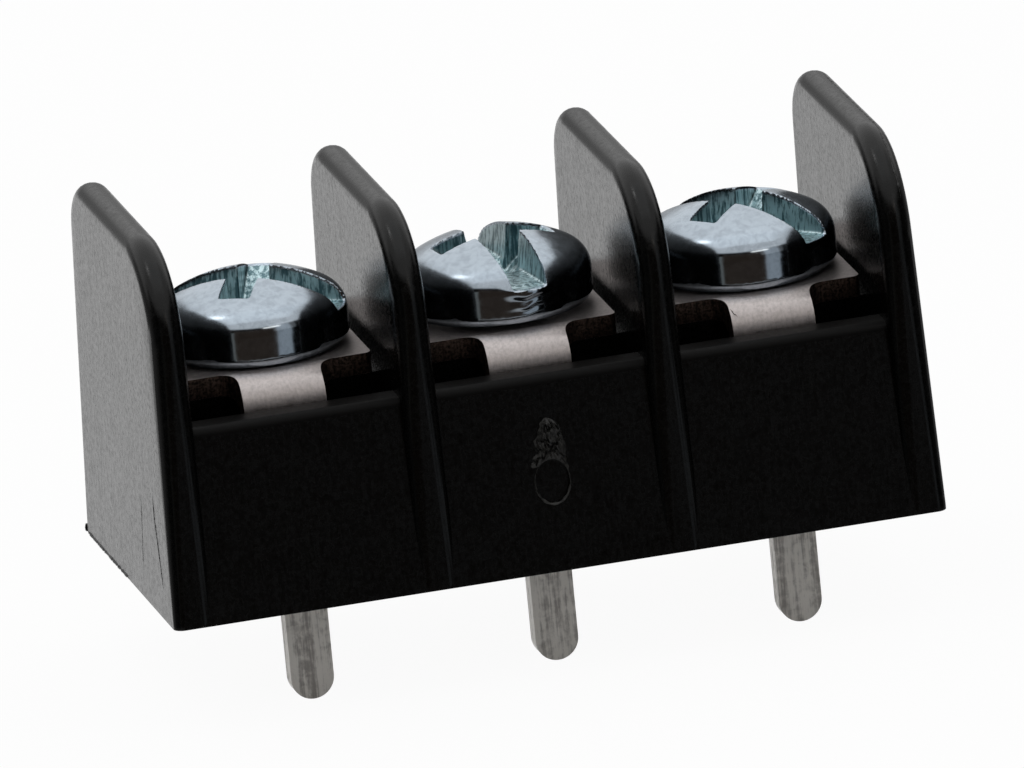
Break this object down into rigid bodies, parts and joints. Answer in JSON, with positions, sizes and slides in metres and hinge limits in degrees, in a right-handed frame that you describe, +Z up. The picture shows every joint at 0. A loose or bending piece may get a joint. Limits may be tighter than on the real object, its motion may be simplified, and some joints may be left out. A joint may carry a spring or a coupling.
{
  "type": "barrier terminal strip",
  "caption": "Single-row barrier terminal strip for a circuit board, with moulded barriers between screw clamps and flat blade pins below.",
  "frame": {"origin": "middle of the housing's bottom face, the one that sits on the circuit board", "axes": "+X along the row of poles, +Y to the back, away from the front wall and the pins, +Z up out of the board"},
  "size_m": [0.03, 0.0152, 0.0186],
  "materials": {
    "housing_plastic": "black moulded thermoplastic, satin",
    "tinned_brass": "satin tin plate on stamped sheet brass, bare at the cut edges",
    "zinc_plate": "bright bluish zinc plate on steel"
  },
  "bodies": {
    "strip": {"housing": "housing_plastic", "terminal_1": "tinned_brass", "terminal_2": "tinned_brass", "terminal_3": "tinned_brass"},
    "clamp_screw_1": {"screw_1": "zinc_plate"},
    "clamp_screw_2": {"screw_2": "zinc_plate"},
    "clamp_screw_3": {"screw_3": "zinc_plate"}
  },
  "joints": [
    {"name": "screw_1_travel", "type": "slide", "parent": "strip", "child": "clamp_screw_1", "axis": [0, 0, 1], "range_m": [0, 0.0045]},
    {"name": "screw_2_travel", "type": "slide", "parent": "strip", "child": "clamp_screw_2", "axis": [0, 0, 1], "range_m": [0, 0.0045]},
    {"name": "screw_3_travel", "type": "slide", "parent": "strip", "child": "clamp_screw_3", "axis": [0, 0, 1], "range_m": [0, 0.0045]}
  ]
}
